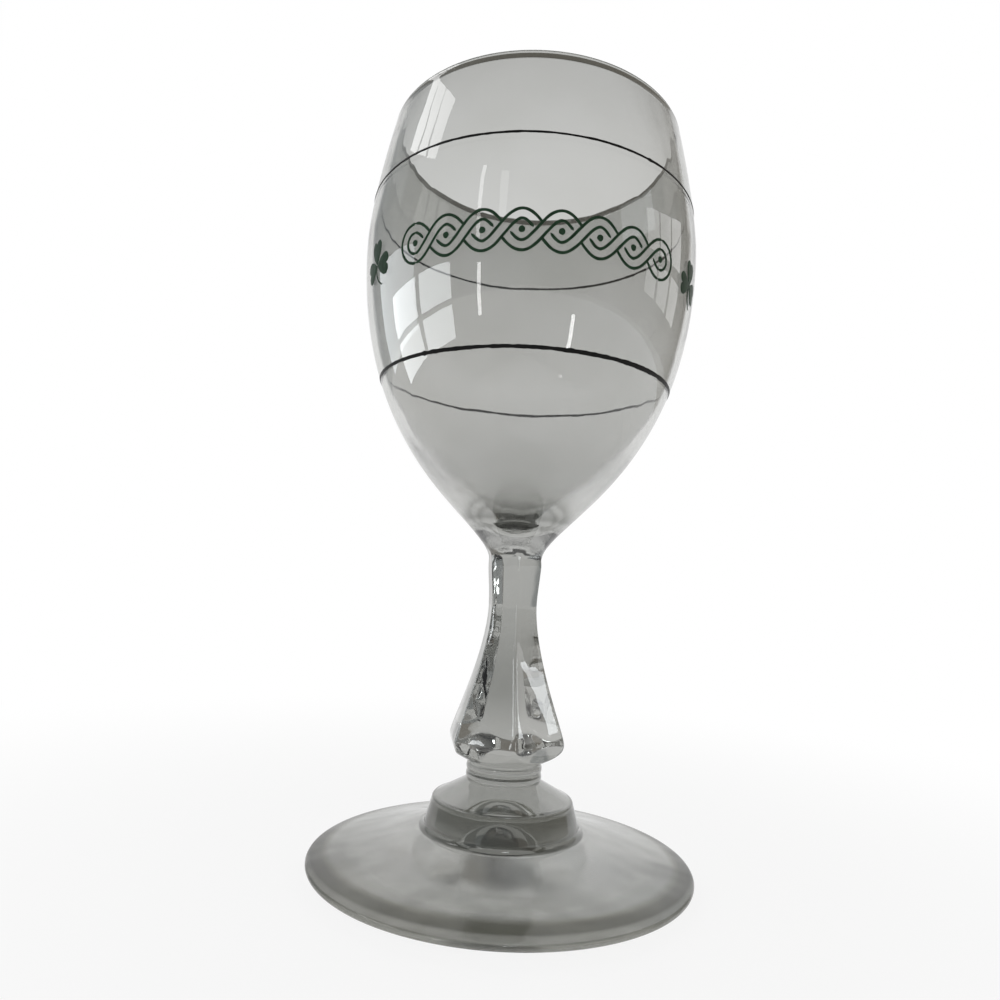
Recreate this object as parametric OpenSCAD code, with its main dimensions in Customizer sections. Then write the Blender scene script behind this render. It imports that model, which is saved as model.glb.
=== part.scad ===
// Stemmed glass for Irish coffee. A thin blown bowl stands on a pressed stem,
// six-sided with a faceted knop, and the stem stands on a stepped foot through
// a ringed collar. Fired enamel marks the bowl: two black lines round it, and
// between them a green twist with a shamrock at either side.
// The origin is the middle of the foot, on the table. +Z is up, -Y is the front.

/* [Bowl] */
// Height of the bowl, from the top of the stem to the rim
bowl_h = 82; // [76:1:90]
// Outside diameter at the widest part
belly_d = 65.6; // [62:0.2:72]
// Height of the widest part above the top of the stem
belly_h = 57; // [50:1:62]
// Outside diameter at the rim
rim_d = 58.4; // [54:0.2:62]
// Thickness of the wall
wall_t = 1.3; // [1:0.1:2]
// Thickness of the rounded rim
rim_t = 1.7; // [1.4:0.1:2.4]
// Thickness of the glass under the middle of the bowl
bowl_floor_t = 4.1; // [3.1:0.1:4.3]
// Diameter of the cavity's floor
cavity_floor_d = 8.6; // [7:0.2:10]
// Height of the floor's edge above the top of the stem
cavity_edge_h = 4.5; // [4.3:0.1:5.2]
// Height up to which the wall thins from the floor
cavity_mid_h = 18; // [16.5:0.5:20]
// Diameter of the cavity at that height
cavity_mid_d = 39; // [36:0.5:40]

/* [Stem] */
// Height of the stem, from the collar to the bowl
stem_h = 41; // [38:1:48]
// Diameter of the joint between stem and bowl
joint_d = 13.1; // [12:0.1:15]
// Diameter of the round top of the stem, below the joint
stem_top_d = 10.7; // [10:0.1:11.6]
// Height of the flared top, where the facets end
stem_flare_h = 3.2; // [2:0.1:4.5]
// Width across the flats under the flared top
stem_top_w = 9.7; // [9:0.1:10]
// Width across the flats at the waist
waist_w = 8.7; // [7.4:0.1:9.4]
// Height of the waist above the collar
waist_h = 29; // [24:1:32]
// Width across the flats of the knop
knop_w = 20.3; // [17:0.1:21]
// Diameter of the knop where its round underside ends
knop_d = 23.2; // [21.6:0.1:24]
// Height of the widest part of the knop above the collar
knop_h = 4.3; // [3.4:0.1:6]
// Turn of the facets about the axis, in degrees
stem_turn = 9; // [-30:1:30]

/* [Collar] */
// Height of the collar between foot and knop
collar_h = 3; // [2:0.2:5]
// Diameter of the collar's rings
collar_d = 14.2; // [12:0.1:16]
// Depth of the grooves between the rings
groove_depth = 0.3; // [0.1:0.05:0.6]
// Number of rings
collar_rings = 2; // [1:1:3]

/* [Foot] */
// Height of the foot, from the table to the collar
foot_h = 16; // [14:0.5:20]
// Diameter of the foot
foot_d = 70; // [62:1:80]
// Height of the foot's edge above the table
foot_edge_h = 1.9; // [1.5:0.1:2.4]
// Thickness of the rounded edge
foot_edge_t = 1.1; // [0.8:0.1:1.6]
// Outside diameter of the flat ring that the foot stands on
rest_d = 55; // [48:1:60]
// Width of that ring
rest_w = 1.6; // [1:0.1:3]
// Height of the plate where the step starts
plate_h = 7.2; // [6:0.1:7.8]
// Diameter at the foot of the step's wall
step_base_d = 28.6; // [26:0.2:34]
// Diameter of the step's shoulder
step_top_d = 26.4; // [22:0.2:28]
// Height of the shoulder above the table
step_top_h = 12.9; // [11.6:0.1:13.4]
// Radius of the fillet at the foot of the step
step_fillet = 1.4; // [0.6:0.1:2]
// Radius that rounds the shoulder
shoulder_round = 0.6; // [0.3:0.1:1.2]
// Height of the hollow under the plate
hollow_h = 1.6; // [0.8:0.1:2.6]
// Diameter of the dimple under the middle
dimple_d = 13; // [9:0.5:16]
// Height of the top of the dimple above the table
dimple_h = 7.6; // [4:0.2:9]

/* [Fired lines] */
// Thickness of the fired enamel
enamel_t = 0.12; // [0.08:0.01:0.2]
// Height of the upper line above the top of the stem
upper_line_h = 65; // [58:0.5:70]
// Width of the upper line
upper_line_w = 0.5; // [0.3:0.05:1]
// Height of the lower line above the top of the stem
lower_line_h = 30.1; // [26:0.1:38]
// Width of the lower line
lower_line_w = 0.65; // [0.3:0.05:1.2]

/* [Twist and shamrocks] */
// Turn of the middle of the print from the front, in degrees
print_turn = 2.7; // [-20:0.1:20]
// Height of the middle of the twist above the top of the stem
twist_h = 48.1; // [44:0.1:52]
// Length of the twist round the bowl, over its end loops
twist_l = 53; // [44:1:60]
// Width of the twist over both strands
twist_w = 7.2; // [6:0.1:9]
// Width of one strand over its outlines
strand_w = 2.1; // [1.6:0.1:2.4]
// Width of the drawn outlines
outline_w = 0.5; // [0.3:0.05:0.6]
// Number of crossings in the twist
crossings = 7; // [5:2:9]
// Diameter of the dots in the eyes of the twist
dot_d = 1.1; // [0.6:0.1:1.5]
// Turn of each shamrock from the middle of the print, in degrees
shamrock_turn = 61.5; // [58:0.5:80]
// Height of the middle of the shamrocks above the top of the stem
shamrock_h = 47.8; // [44:0.1:52]
// Length of a leaf
leaf_l = 4.2; // [3:0.1:5]
// Width of a leaf
leaf_w = 4.2; // [3:0.1:4.6]
// Angle between neighbouring leaves, in degrees
leaf_step = 98; // [90:1:120]
// Height of the stalk below the middle
stalk_l = 3.8; // [2:0.1:5]
// Width of the stalk
stalk_w = 0.3; // [0.25:0.05:0.6]

/* [Hidden] */
$fn = 96;

glass = [0.80, 0.84, 0.83, 0.55];
black = [0.06, 0.06, 0.06];
green = [0.14, 0.28, 0.18];

// Inner control points of the curved outlines, as shares of the run from the
// curve's first point to its last
bowl_low_shares = [[0.25, 0.145], [1, 0.356]];
bowl_up_shares = [[0, 0.2], [0.44, 0.63]];
cavity_floor_shares = [[0.5, 0], [0.85, 0.5]];
cavity_low_shares = [[0.4, 0.32], [0.69, 0.57]];
cavity_up_shares = [[0.6, 0.225], [1, 0.53]];
underside_shares = [[0.14, 0.23], [1, 0.42]];
facet_foot_shares = [[0.54, 0.28], [1, 0.65]];
facet_flare_shares = [[0, 0.07], [1, 0.62]];
facet_neck_shares = [[0, 0.35], [1, 0.7]];
facet_end_shares = [[0, 0.45], [0.35, 0.8]];
joint_shares = [[0, 0.45], [0.34, 0.68]];
round_out_shares = [[0.55, 0], [1, 0.45]];
round_in_shares = [[0, 0.55], [0.45, 1]];
bevel_shares = [[0.3, 0.2], [0.7, 0.65]];
plate_shares = [[0.35, 0.24], [0.75, 0.68]];
dome_shares = [[0.3, 0.28], [0.75, 0.75]];
dimple_shares = [[0.5, 0], [0.85, 0.55]];
stalk_shares = [[-0.55, 0.35], [0.1, 0.85]];

// Outline of half a leaf from its foot to its notch, as shares of half its
// width and of its length
leaf_side_shares = [[0, 0], [0.55, 0.2], [1.35, 0.78], [0.72, 1]];
leaf_top_shares = [[0.72, 1], [0.42, 1.12], [0.06, 1.02], [0, 0.84]];
leaf_middle_share = 0.6;
leaf_foot_share = 0.03;
stalk_reach_share = 0.45;
facet_start_share = 1.135;
knop_edge_rise = 0.13;
facet_end_share = 1.2;
bead_run_share = 1.6;

joint_r = joint_d / 2;
belly_r = belly_d / 2;
rim_r = rim_d / 2;
stem_z = foot_h + collar_h;
bowl_z = stem_z + stem_h;
curve_steps = 16;
small_steps = 6;
edge_turn = 78;

// A point of the curve with the ends a and b, and t from 0 to 1
function curve_point(a, b, shares, t) =
    let (c = [for (i = [0:1]) a[i] + (b[i] - a[i]) * shares[0][i]])
    let (d = [for (i = [0:1]) a[i] + (b[i] - a[i]) * shares[1][i]])
    a * pow(1 - t, 3) + c * 3 * t * pow(1 - t, 2) + d * 3 * t * t * (1 - t) + b * pow(t, 3);

// The curve from a to b, with its first point or without it
function curve(a, b, shares, steps, first = 0) =
    [for (i = [first:steps]) curve_point(a, b, shares, i / steps)];

function reversed(points) = [for (i = [len(points) - 1:-1:0]) points[i]];

// The outside of the bowl from the joint to the rim, as radius and height
bowl_outline = concat(
    curve([joint_r, 0], [belly_r, belly_h], bowl_low_shares, curve_steps),
    curve([belly_r, belly_h], [rim_r, bowl_h - rim_t / 2], bowl_up_shares, small_steps, 1)
);
outline_by_height = [for (p = bowl_outline) [p[1], p[0]]];

// Outside radius of the bowl at a height above the stem
function bowl_r(h) = lookup(h, outline_by_height);

// A place on the bowl: along its girth from the middle of the print, up from
// the top of the stem, and off the glass
function on_bowl(p, lift = 0) =
    let (turn = print_turn + p[0] / belly_r * 180 / PI)
    let (r = bowl_r(p[1]) + lift)
    [r * sin(turn), -r * cos(turn), p[1]];

module revolve(points) rotate_extrude() polygon(points);

// Foot: a plate that stands on a flat ring, bevelled beneath out to its rounded
// edge and hollow inside the ring, with a step and a dome on top
module foot() {
    foot_r = foot_d / 2;
    edge_r = foot_edge_t / 2;
    rest_r = rest_d / 2;
    step_base_r = step_base_d / 2;
    step_top_r = step_top_d / 2;
    seat_r = collar_d / 2 - groove_depth;
    edge = [
        for (i = [0:small_steps])
            let (turn = edge_turn * (2 * i / small_steps - 1))
            [foot_r - edge_r + edge_r * cos(turn), foot_edge_h + edge_r * sin(turn)]
    ];
    fillet_out = [step_base_r + step_fillet, plate_h];
    fillet_top = [step_base_r, plate_h + step_fillet];
    shoulder_low = [step_top_r, step_top_h - shoulder_round];
    shoulder_top = [step_top_r - shoulder_round, step_top_h];
    color(glass) revolve(concat(
        curve([0, dimple_h], [dimple_d / 2, hollow_h], dimple_shares, small_steps),
        [[rest_r - rest_w, 0]],
        curve([rest_r, 0], edge[0], bevel_shares, small_steps),
        [for (i = [1:small_steps]) edge[i]],
        curve(edge[small_steps], fillet_out, plate_shares, small_steps, 1),
        curve(fillet_out, fillet_top, round_out_shares, small_steps, 1),
        curve(shoulder_low, shoulder_top, round_in_shares, small_steps),
        curve(shoulder_top, [seat_r, foot_h], dome_shares, small_steps, 1),
        [[0, foot_h]]
    ));
}

// Collar: rounded rings one above the other, with a groove at each end
module collar() {
    groove_r = collar_d / 2 - groove_depth;
    ring_h = collar_h / collar_rings;
    rings = [
        for (ring = [0:collar_rings - 1], i = [0:small_steps])
            if (ring == 0 || i > 0)
                let (turn = 180 * i / small_steps)
                [groove_r + groove_depth * sin(turn), ring_h * (ring + (1 - cos(turn)) / 2)]
    ];
    color(glass) translate([0, 0, foot_h]) revolve(concat([[0, 0]], rings, [[0, collar_h]]));
}

// Half the width across the flats of the stem, from the collar up
waist_half = waist_w / 2;
facet_top = [stem_top_w / 2, stem_h - stem_flare_h];
facet_end = [joint_r * facet_end_share, stem_h];
facet_outline = concat(
    curve([collar_d * facet_start_share / 2, 0], [knop_w / 2, knop_h], facet_foot_shares, small_steps),
    curve([knop_w / 2, knop_h], [waist_half, waist_h], facet_flare_shares, curve_steps, 1),
    curve([waist_half, waist_h], facet_top, facet_neck_shares, small_steps, 1),
    curve(facet_top, facet_end, facet_end_shares, small_steps, 1)
);

// The round limits of the stem: the knop's underside, where the ridges end
// below, and the flare under the bowl, where they end above
knop_edge = [knop_d / 2, knop_h + knop_edge_rise];
round_top = [stem_top_d / 2, facet_top[1] + knop_edge_rise];
round_outline = concat(
    curve([collar_d / 2 - groove_depth, 0], knop_edge, underside_shares, curve_steps - 1),
    curve(round_top, [joint_r, stem_h], joint_shares, small_steps - 1)
);

// Stem: the round form trimmed by three pairs of hollow-ground flats, so that
// each flat runs out in a scallop on the underside of the knop
module stem() {
    flats = concat(
        facet_outline,
        [for (p = reversed(facet_outline)) [-p[0], p[1]]]
    );
    color(glass) translate([0, 0, stem_z]) rotate([0, 0, stem_turn]) intersection() {
        revolve(concat([[0, 0]], round_outline, [[0, stem_h]]));
        flat_pair(0, flats);
        flat_pair(1, flats);
        flat_pair(2, flats);
    }
}

// The block between one pair of opposite flats
module flat_pair(i, flats) {
    rotate([0, 0, i * 60]) rotate([90, 0, 0])
        linear_extrude(height = knop_d * 2, center = true) polygon(flats);
}

// Bowl: a shell with a rounded rim. Its wall thickens downwards to a small floor
// over the stem
module bowl() {
    bead_r = rim_t / 2;
    bead_z = bowl_h - bead_r;
    inner_top_h = bowl_h - rim_t * bead_run_share;
    floor_edge = [cavity_floor_d / 2, cavity_edge_h];
    mid_in = [cavity_mid_d / 2, cavity_mid_h];
    belly_in = [belly_r - wall_t, belly_h];
    rim_in = [bowl_r(inner_top_h) - wall_t, inner_top_h];
    bead = [
        for (i = [1:small_steps * 2])
            let (turn = 180 * i / (small_steps * 2))
            [rim_r - bead_r + bead_r * cos(turn), bead_z + bead_r * sin(turn)]
    ];
    color(glass) translate([0, 0, bowl_z]) revolve(concat(
        [[0, 0]],
        bowl_outline,
        bead,
        reversed(curve(belly_in, rim_in, bowl_up_shares, small_steps)),
        reversed(curve(mid_in, belly_in, cavity_up_shares, curve_steps, 1)),
        reversed(curve(floor_edge, mid_in, cavity_low_shares, small_steps, 1)),
        reversed(curve([0, bowl_floor_t], floor_edge, cavity_floor_shares, small_steps))
    ));
}

// A line fired round the bowl
module line_round(height, width) {
    rows = [for (i = [-1:1]) height + i * width / 2];
    color(black) translate([0, 0, bowl_z]) revolve(concat(
        [for (h = rows) [bowl_r(h), h]],
        [for (h = reversed(rows)) [bowl_r(h) + enamel_t, h]]
    ));
}

module upper_line() line_round(upper_line_h, upper_line_w);
module lower_line() line_round(lower_line_h, lower_line_w);

// Enamel on the bowl along a path of points on its surface. Each row holds the
// path's left and right edge, first off the glass and then on it
module stroke(path, width) {
    last = len(path) - 1;
    edge = [
        for (i = [0:last])
            let (way = path[min(i + 1, last)] - path[max(i - 1, 0)])
            let (side = [-way[1], way[0]] / norm(way) * width / 2)
            [path[i] + side, path[i] - side]
    ];
    points = [
        for (e = edge)
            each [on_bowl(e[0], enamel_t), on_bowl(e[1], enamel_t), on_bowl(e[1]), on_bowl(e[0])]
    ];
    sides = [
        for (i = [0:last - 1], j = [0:3])
            let (a = 4 * i + j)
            let (b = 4 * i + (j + 1) % 4)
            each [[a, a + 4, b + 4], [a, b + 4, b]]
    ];
    ends = [[0, 1, 2, 3], [for (j = [3:-1:0]) 4 * last + j]];
    polyhedron(points, concat(sides, ends));
}

// Enamel on the bowl inside an outline that goes anticlockwise round a middle
module patch(outline, middle) {
    n = len(outline);
    rings = [for (share = [0.5, 1], p = outline) middle + (p - middle) * share];
    flat = concat([middle], rings);
    half = len(flat);
    points = concat([for (p = flat) on_bowl(p, enamel_t)], [for (p = flat) on_bowl(p)]);
    front = [
        for (k = [0:n - 1])
            let (a = 1 + k)
            let (b = 1 + (k + 1) % n)
            each [[0, b, a], [a, b, b + n], [a, b + n, a + n]]
    ];
    back = [for (f = front) [f[2] + half, f[1] + half, f[0] + half]];
    rim = [
        for (k = [0:n - 1])
            let (a = 1 + n + k)
            let (b = 1 + n + (k + 1) % n)
            each [[a, b, b + half], [a, b + half, a + half]]
    ];
    polyhedron(points, concat(front, back, rim));
}

// Twist: two strands that cross over and under each other, drawn in outline
twist_reach = (twist_w - strand_w) / 2;
crossing_step = (twist_l - twist_w) / crossings;
twist_start = -crossing_step * crossings / 2;
slope = atan(twist_reach * PI / crossing_step);
outline_offset = (strand_w - outline_w) / 2;
steps_per_crossing = 8;

// A point at an offset from the middle of a strand, s crossings along it
function strand_point(strand, s, offset) =
    let (swing = strand * twist_reach * cos(180 * s))
    let (rise = -strand * twist_reach * PI / crossing_step * sin(180 * s))
    let (side = [-rise, 1] / norm([1, rise]))
    [twist_start + s * crossing_step, twist_h + swing] + side * offset;

// How far from a crossing, in crossings, the outline of the strand beneath is
// hidden, before the crossing (way -1) or after it (way 1)
function hidden(strand, s, offset, way) =
    let (lean = -strand * sin(180 * s) * offset * cos(2 * slope))
    (lean + way * strand_w / 2) / sin(2 * slope) * cos(slope) / crossing_step;

// True where the strand goes under the other one at crossing i
function goes_under(strand, i) = (strand > 0 ? i : i + 1) % 2 == 0;

// The stretches of a strand's outline that show, between one crossing where it
// is beneath and the next
module strand_outline(strand, offset) {
    cuts = [for (i = [0:crossings - 1]) if (goes_under(strand, i)) i + 0.5];
    starts = concat([0], [for (s = cuts) s + hidden(strand, s, offset, 1)]);
    stops = concat([for (s = cuts) s + hidden(strand, s, offset, -1)], [crossings]);
    for (i = [0:len(starts) - 1]) {
        steps = ceil((stops[i] - starts[i]) * steps_per_crossing);
        stroke([
            for (k = [0:steps])
                strand_point(strand, starts[i] + (stops[i] - starts[i]) * k / steps, offset)
        ], outline_w);
    }
}

// The loop that joins both strands at one end of the twist
module end_loop(way, offset) {
    middle = [way * (twist_l - twist_w) / 2, twist_h];
    r = twist_reach + offset;
    stroke([
        for (k = [0:steps_per_crossing * 2])
            let (turn = -90 + 180 * k / (steps_per_crossing * 2))
            middle + r * [way * cos(turn), sin(turn)]
    ], outline_w);
}

module strand_and_loop(strand) {
    color(green) translate([0, 0, bowl_z]) for (side = [-1, 1]) {
        strand_outline(strand, side * outline_offset);
        end_loop(-strand, side * outline_offset);
    }
}

module twist_strand_a() strand_and_loop(1);
module twist_strand_b() strand_and_loop(-1);

// Dots: one in each eye of the twist
module twist_dots() {
    dot_points = 12;
    color(green) translate([0, 0, bowl_z]) for (i = [0:crossings]) {
        middle = [twist_start + i * crossing_step, twist_h];
        patch([
            for (k = [0:dot_points - 1])
                let (turn = 360 * k / dot_points)
                middle + dot_d / 2 * [cos(turn), sin(turn)]
        ], middle);
    }
}

// Half the outline of an upright leaf, on one side of its midrib
function half_leaf(side) = [
    for (part = [leaf_side_shares, leaf_top_shares], i = [0:small_steps - 1])
        let (p = curve_by_points(part, i / small_steps))
        [side * p[0] * leaf_w / 2, p[1] * leaf_l]
];

function curve_by_points(c, t) =
    c[0] * pow(1 - t, 3) + c[1] * 3 * t * pow(1 - t, 2) + c[2] * 3 * t * t * (1 - t) + c[3] * pow(t, 3);

function turned(p, turn) = [p[0] * cos(turn) - p[1] * sin(turn), p[0] * sin(turn) + p[1] * cos(turn)];

// Shamrock: three notched leaves and a curved stalk
module shamrock(turn) {
    middle = [turn * PI / 180 * belly_r, shamrock_h];
    foot = [0, leaf_l * leaf_foot_share];
    right = half_leaf(1);
    left = reversed([for (i = [1:len(right) - 1]) [-right[i][0], right[i][1]]]);
    notch = [0, leaf_top_shares[3][1] * leaf_l];
    stalk_end = [stalk_l * stalk_reach_share, -stalk_l];
    leaf = concat(right, [notch], left);
    color(green) translate([0, 0, bowl_z]) {
        for (i = [-1:1])
            patch(
                [for (p = leaf) middle + turned(foot + p, i * leaf_step)],
                middle + turned([0, leaf_l * leaf_middle_share], i * leaf_step)
            );
        stroke([
            for (i = [0:small_steps])
                middle + curve_point([0, 0], stalk_end, stalk_shares, i / small_steps)
        ], stalk_w);
    }
}

module shamrock_left() shamrock(-shamrock_turn);
module shamrock_right() shamrock(shamrock_turn);

foot();
collar();
stem();
bowl();
upper_line();
lower_line();
twist_strand_a();
twist_strand_b();
twist_dots();
shamrock_left();
shamrock_right();
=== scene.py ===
"""Looks of the stemmed Irish coffee glass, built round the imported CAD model."""

import math

import bpy
import numpy as np
from mathutils import Matrix, Vector


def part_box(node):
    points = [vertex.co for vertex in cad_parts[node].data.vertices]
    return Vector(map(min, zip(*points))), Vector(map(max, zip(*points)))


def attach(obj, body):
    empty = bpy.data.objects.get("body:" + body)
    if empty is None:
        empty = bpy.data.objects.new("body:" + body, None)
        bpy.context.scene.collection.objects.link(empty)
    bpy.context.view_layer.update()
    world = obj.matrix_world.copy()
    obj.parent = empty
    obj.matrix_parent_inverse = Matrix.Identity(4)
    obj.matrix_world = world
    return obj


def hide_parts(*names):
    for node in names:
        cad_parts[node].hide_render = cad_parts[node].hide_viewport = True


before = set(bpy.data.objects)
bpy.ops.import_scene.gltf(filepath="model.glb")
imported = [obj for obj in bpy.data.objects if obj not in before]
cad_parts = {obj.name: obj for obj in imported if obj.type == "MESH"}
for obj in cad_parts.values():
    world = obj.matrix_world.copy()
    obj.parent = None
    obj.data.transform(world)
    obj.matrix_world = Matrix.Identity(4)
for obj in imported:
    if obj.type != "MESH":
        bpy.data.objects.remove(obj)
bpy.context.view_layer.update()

MM = 0.001
TINY = 1e-6
WHITE = (1, 1, 1)
PHASES = 6.28


# Curves for outlines

def bezier(points, shares):
    """Points at shares of the way along a Bezier curve of four control points."""
    a, b, c, d = np.array(points, float)
    t = shares[:, None]
    return a * (1 - t) ** 3 + 3 * b * t * (1 - t) ** 2 + 3 * c * t ** 2 * (1 - t) + d * t ** 3


def curve(start, end, shares, steps, first=0):
    """Bezier curve whose inner control points are shares of the run from start to end;
    first is 1 where the outline already has the start."""
    a, b = np.array(start, float), np.array(end, float)
    inner = [a + (b - a) * share for share in np.array(shares, float)]
    return bezier([a, *inner, b], np.linspace(0, 1, steps + 1)[first:])


def line(start, end, steps, first=0):
    t = np.linspace(0, 1, steps + 1)[first:, None]
    return np.array(start, float) * (1 - t) + np.array(end, float) * t


def arc(centre, radius, start, end, steps, first=0):
    """Round stretch between two angles in degrees."""
    t = np.radians(np.linspace(start, end, steps + 1)[first:])
    return np.array(centre, float) + radius * np.stack([np.cos(t), np.sin(t)], 1)


# Sizes in millimetres. Wall, rim bead and cavity floor differ a little from the solids,
# for their looks; the rest is as in the solids or comes from the frame

def z_of(node, top):
    """Height of a node's lowest or highest point, in millimetres."""
    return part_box(node)[1 if top else 0].z / MM


FOOT_TOP = z_of("foot", True)
FOOT_R = round(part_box("foot")[1].x / MM, 3)
STEM_Z = z_of("stem", False)
BOWL_Z = z_of("bowl", False)
BOWL_H = z_of("bowl", True) - BOWL_Z
STEM_H = BOWL_Z - STEM_Z
BELLY_R, BELLY_H, RIM_R = 32.8, 57.0, 29.2
RIM_T, WALL_T, FLOOR_T = 1.25, 1.25, 3.3
JOINT_R, SEAT_R = 6.55, 6.8
CAVITY_EDGE, CAVITY_MID = [4.4, 5.3], [19.5, 18.0]

BOWL_LOW_SHARES = [[0.25, 0.145], [1, 0.356]]
BOWL_UP_SHARES = [[0, 0.2], [0.44, 0.63]]
ROUND_OUT_SHARES = [[0.55, 0], [1, 0.45]]
ROUND_IN_SHARES = [[0, 0.55], [0.45, 1]]

bowl_outside = np.vstack([
    curve([JOINT_R, 0], [BELLY_R, BELLY_H], BOWL_LOW_SHARES, 64),
    curve([BELLY_R, BELLY_H], [RIM_R, BOWL_H - RIM_T / 2], BOWL_UP_SHARES, 26, 1),
])


# Slow unevenness of the glass: sizes in millimetres, and a seed for each surface

WAVES_ROUND = (2, 3, 5, 7, 11, 15)
WAVE_LEAN, WAVE_RISE, WAVE_FALL, WAVE_SUM = 0.02, 0.03, 0.7, 2.2
FOOT_WAVE, FOOT_STRETCH, FOOT_SEED = 0.035, 4, 5
STEM_WAVE, STEM_STRETCH, STEM_SEED = 0.03, 3, 7
OUTER_WAVE, OUTER_SEED = 0.03, 11
INNER_WAVE, INNER_SEED = 0.08, 23

# Distances over which the waves fade towards joints, seat, rim and middle of the cavity

FADE_LOW, FADE_TOP, FADE_FOOT, FADE_STEM, FADE_CAVITY = 12, 6, 6, 3, 10
CAVITY_TRUE_R = 2


def wobble(turn, height, size, seed):
    """Unevenness from a few waves round the axis, which lean and swell with height."""
    total = np.zeros(np.broadcast(turn, height).shape)
    draw = np.random.default_rng(seed)
    for waves in WAVES_ROUND:
        phase, tilt, drift = draw.uniform(0, PHASES, 3)
        wave = np.sin(waves * turn + phase + WAVE_LEAN * height * (tilt - 3))
        total = total + wave * np.sin(WAVE_RISE * waves * height + drift) / waves ** WAVE_FALL
    return total * size / WAVE_SUM


def bowl_radius(height, turn):
    """Outside radius of the bowl above the stem, with its unevenness."""
    r = np.interp(height, bowl_outside[:, 1], bowl_outside[:, 0])
    fade = np.clip(height / FADE_LOW, 0, 1) * np.clip((BOWL_H - height) / FADE_TOP, 0, 1)
    return r - OUTER_WAVE * fade + wobble(turn, height, OUTER_WAVE, OUTER_SEED) * fade


# Meshes

SEGMENTS = 192
RIDGE_TURN = 39.0
TURNS = np.radians(RIDGE_TURN + 360 * np.arange(SEGMENTS) / SEGMENTS)


def make_object(name, verts, faces, materials, slots=None, sharp=50.0):
    """A smooth object from vertices in millimetres, with edges sharp above an angle."""
    mesh = bpy.data.meshes.new(name)
    mesh.from_pydata([tuple(v) for v in np.asarray(verts) * MM], [], faces)
    mesh.validate()
    for material in materials:
        mesh.materials.append(material)
    mesh.polygons.foreach_set("use_smooth", [True] * len(mesh.polygons))
    if slots is not None:
        mesh.polygons.foreach_set("material_index", slots)
    mesh.set_sharp_from_angle(angle=math.radians(sharp))
    mesh.update()
    obj = bpy.data.objects.new(name, mesh)
    bpy.context.scene.collection.objects.link(obj)
    return obj


def piece(obj, node):
    """Puts an object in the place of a node of the solids."""
    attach(obj, "root")
    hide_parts(node)
    return obj


def ring_at(radius, z):
    """Vertices round the axis, with one radius or one for each vertex."""
    return np.stack([radius * np.cos(TURNS), radius * np.sin(TURNS), np.full(SEGMENTS, z)], 1)


def skin(rings):
    """Vertices and faces of a tube of rings; a ring of one point closes it."""
    verts, faces, starts = [], [], []
    for ring in rings:
        starts.append(len(verts))
        verts.extend(ring)
    for a, b, low, high in zip(starts, starts[1:], rings, rings[1:]):
        n = max(len(low), len(high))
        for j in range(n):
            k = (j + 1) % n
            if len(low) == 1:
                faces.append((a, b + k, b + j))
            elif len(high) == 1:
                faces.append((a + j, a + k, b))
            else:
                faces.append((a + j, a + k, b + k, b + j))
    return verts, faces


def lathe(name, profile, base, materials, caps=(), uneven=None, zone=None):
    """Revolves a profile of radius and height. caps are the heights of fused faces,
    uneven gives what a row of vertices adds to its radius, and zone gives a face's
    material from the radius and height of its middle and whether it faces down."""
    rings = []
    for row, (r, z) in enumerate(profile):
        if r < TINY:
            rings.append([(0, 0, z + base)])
        else:
            rings.append(ring_at(r + uneven(row, r, z) if uneven else r, z + base))
    verts, faces = skin(rings)
    slots = []
    for (r0, z0), (r1, z1) in zip(profile[:-1], profile[1:]):
        if z0 == z1 and any(abs(z0 - cap) < TINY for cap in caps):
            slot = 1
        else:
            slot = zone((r0 + r1) / 2, (z0 + z1) / 2, r1 > r0) if zone else 0
        slots += [slot] * SEGMENTS
    return make_object(name, verts, faces, materials, slots)


# Shader nodes

def shader(name):
    """A new material, its empty node tree and its output node."""
    mat = bpy.data.materials.new(name)
    mat.use_nodes = True
    tree = mat.node_tree
    tree.nodes.clear()
    return mat, tree, tree.nodes.new("ShaderNodeOutputMaterial")


def add(tree, kind, inputs=None, **settings):
    """A node with its settings; each input gets a value or the socket that feeds it."""
    node = tree.nodes.new("ShaderNode" + kind)
    for key, value in settings.items():
        setattr(node, key, value)
    for key, value in (inputs or {}).items():
        if isinstance(value, bpy.types.NodeSocket):
            tree.links.new(value, node.inputs[key])
        else:
            node.inputs[key].default_value = value
    return node


def noise(tree, scale, detail=3.0, stretch=(1, 1, 1)):
    """Noise in the object's own coordinates; its scale is per metre."""
    place = add(tree, "TexCoord").outputs["Object"]
    scaled = add(tree, "Mapping", {"Vector": place, "Scale": stretch}).outputs["Vector"]
    return add(tree, "TexNoise", {"Vector": scaled, "Scale": scale, "Detail": detail}).outputs["Fac"]


def ramp(tree, source, stops):
    """Colours at places from 0 to 1 of a source; a single number is a grey."""
    node = add(tree, "ValToRGB", {"Fac": source})
    elements = node.color_ramp.elements
    while len(elements) < len(stops):
        elements.new(0.5)
    for element, (at, colour) in zip(elements, stops):
        element.position = at
        element.color = (*colour, 1) if isinstance(colour, tuple) else (colour, colour, colour, 1)
    return node.outputs["Color"]


def span(tree, source, low, high, start=0.0, **settings):
    """How far a source has come from low to high, from start to 1."""
    inputs = {"Value": source, "From Min": low, "From Max": high, "To Min": start}
    return add(tree, "MapRange", inputs, **settings).outputs[0]


def blend(tree, how, first, second, share=1.0):
    """Mix of two colours: MIX, MULTIPLY or ADD."""
    inputs = {0: share, 6: first, 7: second}
    return add(tree, "Mix", inputs, data_type="RGBA", blend_type=how).outputs[2]


def mix_shaders(tree, share, first, second):
    return add(tree, "MixShader", {0: share, 1: first.outputs[0], 2: second.outputs[0]}).outputs[0]


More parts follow.
